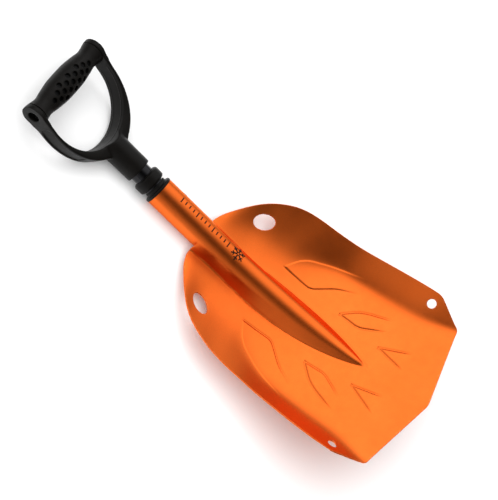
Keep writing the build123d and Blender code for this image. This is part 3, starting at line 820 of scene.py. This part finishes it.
def weld_field(p):
    """Ripples of a run of weld metal along each side of the tube."""
    s = MOUTH_Y - p[:, 1]
    run = (s - weld_from) % WELD_PITCH / WELD_PITCH
    radius = WELD_RADIUS - WELD_RIPPLE + WELD_RIPPLE * np.sin(np.pi * run)
    bead = np.hypot(np.abs(p[:, 0]) - WELD_X, p[:, 2] - AXIS_Z - WELD_Z) - radius
    ends = np.maximum(weld_from - s, s - weld_to)
    body = smooth_max(bead, ends, 1.5)
    return np.maximum(body, TUBE_RADIUS - WELD_SINK - from_shaft(p))


def collar_field(p):
    """Chamfered ring with the hole of its pin."""
    shaft = from_shaft(p)
    middle = 0.5 * (collar_low[1] + collar_high[1])
    half = 0.5 * (collar_high[1] - collar_low[1])
    radius = 0.5 * (collar_high[0] - collar_low[0])
    end = np.abs(p[:, 1] - middle) - half
    body = smooth_max(shaft - radius, end, 0.25)
    body = smooth_max(body, (shaft - radius + end + COLLAR_CHAMFER) / math.sqrt(2), 0.25)
    body = smooth_max(body, HANDLE_RADIUS + GAP - shaft, 0.3)
    pin = np.maximum(np.hypot(p[:, 0], p[:, 1] - station_y(PIN_STATION)) - PIN_RADIUS - GAP, p[:, 2] - AXIS_Z)
    return smooth_max(body, -pin, 0.3)


moulded("bow_shell", bow_field, "handle_bow", 0.8, black_plastic, "handle", "black_plastic")
# the grip carries the dimple mask that drives the painted shade in its dimples
moulded("grip_barrel", grip_field, "grip_cover", 0.5, black_grip, "handle", "black_grip", cavity=dimple_depth)
moulded("collar_ring", collar_field, "stop_collar", 0.4, black_plastic, "handle", "black_plastic")
moulded("mouth_bushing", bushing_field, "tube_bushing", 0.4, black_plastic, "blade", "black_plastic")
moulded("weld_runs", weld_field, "socket_welds", 0.35, orange, "blade", "orange_anodised")


# ---------------------------------------------------------------- printed marks, plain and meaningless
PRINT_LIFT = 0.05
PRINT_TURN = math.radians(8.0)       # from the top of the tube towards +X
SCALE_FROM, SCALE_PITCH, SCALE_TICKS = 22.0, 5.5, 13
LONG_TICK, SHORT_TICK, TICK_HALF = 3.6, 2.3, 0.65       # half lengths, and half width
CRYSTAL_STATION, CRYSTAL_REACH = 102.0, 8.5
ARM_FROM, ARM_HALF = 1.0, 0.75
BRANCH_AT, BRANCH_TURN, BRANCH_LENGTH, BRANCH_HALF = 0.55, 55.0, 2.9, 0.55
STRIP_STEPS = 8


def unit(degrees):
    return np.array([math.cos(math.radians(degrees)), math.sin(math.radians(degrees))])


def mark_strips():
    """Start, end and half width of each printed stroke, over (distance round the tube, station)."""
    strips = []
    for i in range(SCALE_TICKS):
        s = SCALE_FROM + i * SCALE_PITCH
        half = SHORT_TICK if i % 4 else LONG_TICK
        strips.append(((-half, s), (half, s), TICK_HALF))
    middle = np.array([0, CRYSTAL_STATION])
    for turn in range(0, 360, 60):
        way = unit(turn)
        strips.append((middle + ARM_FROM * way, middle + CRYSTAL_REACH * way, ARM_HALF))
        fork = middle + BRANCH_AT * CRYSTAL_REACH * way
        for side in (-1, 1):
            strips.append((fork, fork + BRANCH_LENGTH * unit(turn + BRANCH_TURN * side), BRANCH_HALF))
    return strips


def printed_marks():
    """A row of plain ticks along the tube, and a six-armed snow crystal."""
    points, faces = [], []
    for start, end, half_width in mark_strips():
        start, end = np.array(start, float), np.array(end, float)
        along = (end - start) / np.linalg.norm(end - start)
        beside = half_width * np.array([-along[1], along[0]])
        first = len(points)
        for t in np.linspace(0, 1, STRIP_STEPS + 1):
            here = start + t * (end - start)
            for corner, lift in ((here - beside, 1), (here + beside, 1), (here + beside, -1), (here - beside, -1)):
                turn = PRINT_TURN + corner[0] / TUBE_RADIUS
                radius = TUBE_RADIUS + lift * PRINT_LIFT
                points.append((radius * math.sin(turn), station_y(corner[1]), AXIS_Z + radius * math.cos(turn)))
        for i in range(STRIP_STEPS):
            a, b = first + 4 * i, first + 4 * (i + 1)
            faces += [(a + j, a + (j + 1) % 4, b + (j + 1) % 4, b + j) for j in range(4)]
        faces += [tuple(first + j for j in (3, 2, 1, 0)), tuple(first + 4 * STRIP_STEPS + j for j in range(4))]
    add_piece("printed_marks", points, faces, None, ink, "blade")


printed_marks()

# ---------------------------------------------------------------- studio
CAMERA_PLACE = Vector((-1153.7, MOUTH_Y + 275.7, AXIS_Z + 1904.9)) * MM
CAMERA_AIM = Vector((22.8, MOUTH_Y - 110.9, AXIS_Z + 2.4)) * MM
CAMERA_ACROSS = Vector((0.5297, -0.7054, 0.4709))
LENS = 158.4
FLOOR_HALF = 6.0                 # metres


def build_camera():
    data = bpy.data.cameras.new("photo_camera")
    data.lens = LENS
    camera = bpy.data.objects.new("photo_camera", data)
    bpy.context.scene.collection.objects.link(camera)
    back = (CAMERA_PLACE - CAMERA_AIM).normalized()
    up = back.cross(CAMERA_ACROSS).normalized()
    across = up.cross(back)
    camera.matrix_world = Matrix.Translation(CAMERA_PLACE) @ Matrix((across, up, back)).transposed().to_4x4()
    bpy.context.scene.camera = camera


def build_floor():
    mesh = bpy.data.meshes.new("floor")
    corners = [(x * FLOOR_HALF, y * FLOOR_HALF, 0) for x, y in ((-1, -1), (1, -1), (1, 1), (-1, 1))]
    mesh.from_pydata(corners, [], [(0, 1, 2, 3)])
    floor = bpy.data.objects.new("floor", mesh)
    bpy.context.scene.collection.objects.link(floor)
    material, tree, shader = node_material("floor")
    tone = ramp(tree, noise(tree, 0.004, 2.0), [(0.3, (0.90, 0.90, 0.90)), (0.7, (0.93, 0.93, 0.93))])
    tree.links.new(tone, shader.inputs["Base Color"])
    shader.inputs["Roughness"].default_value = 0.9
    shader.inputs["Specular IOR Level"].default_value = 0.1
    mesh.materials.append(material)


def area_light(name, toward, distance, width, height, power, glossy=True):
    """Soft box that faces the object from the given direction."""
    data = bpy.data.lights.new(name, "AREA")
    data.shape = "RECTANGLE"
    data.size, data.size_y = width, height
    data.energy = power
    light = bpy.data.objects.new(name, data)
    bpy.context.scene.collection.objects.link(light)
    place = Vector(toward).normalized() * distance
    light.location = place
    light.rotation_euler = (-place).to_track_quat("-Z", "Y").to_euler()
    light.visible_glossy = glossy
    light.visible_camera = False


SKY_LEVEL = 0.07
SKY_POWER = 14.0   # the higher, the smaller the patches
SOFTBOXES = {      # degrees round from +X, degrees up from the floor, brightness
    "key": (40, 45, 1.7),
    "top": (20, 70, 0.9),
    "right": (0, 30, 1.2),
    "left": (150, 30, 1.3),
    "back": (100, 40, 1.0),
    "front": (-40, 50, 0.7),
    "low": (185, 10, 0.6),
}


def build_sky():
    """Grey surroundings with soft bright patches, like large diffusers."""
    world = bpy.data.worlds.new("studio")
    bpy.context.scene.world = world
    world.use_nodes = True
    tree = world.node_tree
    way = tree.nodes.new("ShaderNodeTexCoord").outputs["Generated"]
    level = SKY_LEVEL
    for around, up, brightness in SOFTBOXES.values():
        around, up = math.radians(around), math.radians(up)
        towards = tree.nodes.new("ShaderNodeVectorMath")
        towards.operation = "DOT_PRODUCT"
        flat = math.cos(up)
        towards.inputs[1].default_value = (math.cos(around) * flat, math.sin(around) * flat, math.sin(up))
        tree.links.new(way, towards.inputs[0])
        ahead = math_node(tree, "MAXIMUM", towards.outputs["Value"], 0.0)
        patch = math_node(tree, "MULTIPLY", math_node(tree, "POWER", ahead, SKY_POWER), brightness)
        level = math_node(tree, "ADD", patch, level)
    tree.links.new(level, tree.nodes["Background"].inputs["Strength"])
    tree.nodes["Background"].inputs["Color"].default_value = (1.0, 1.0, 1.0, 1.0)


def build_studio():
    build_sky()
    bpy.context.scene.view_settings.view_transform = "Standard"     # colours come out as the materials state them
    area_light("fill", (-0.3, 0.1, 1.0), 2.5, 4.0, 4.0, 95.0, glossy=False)


build_camera()
build_floor()
build_studio()
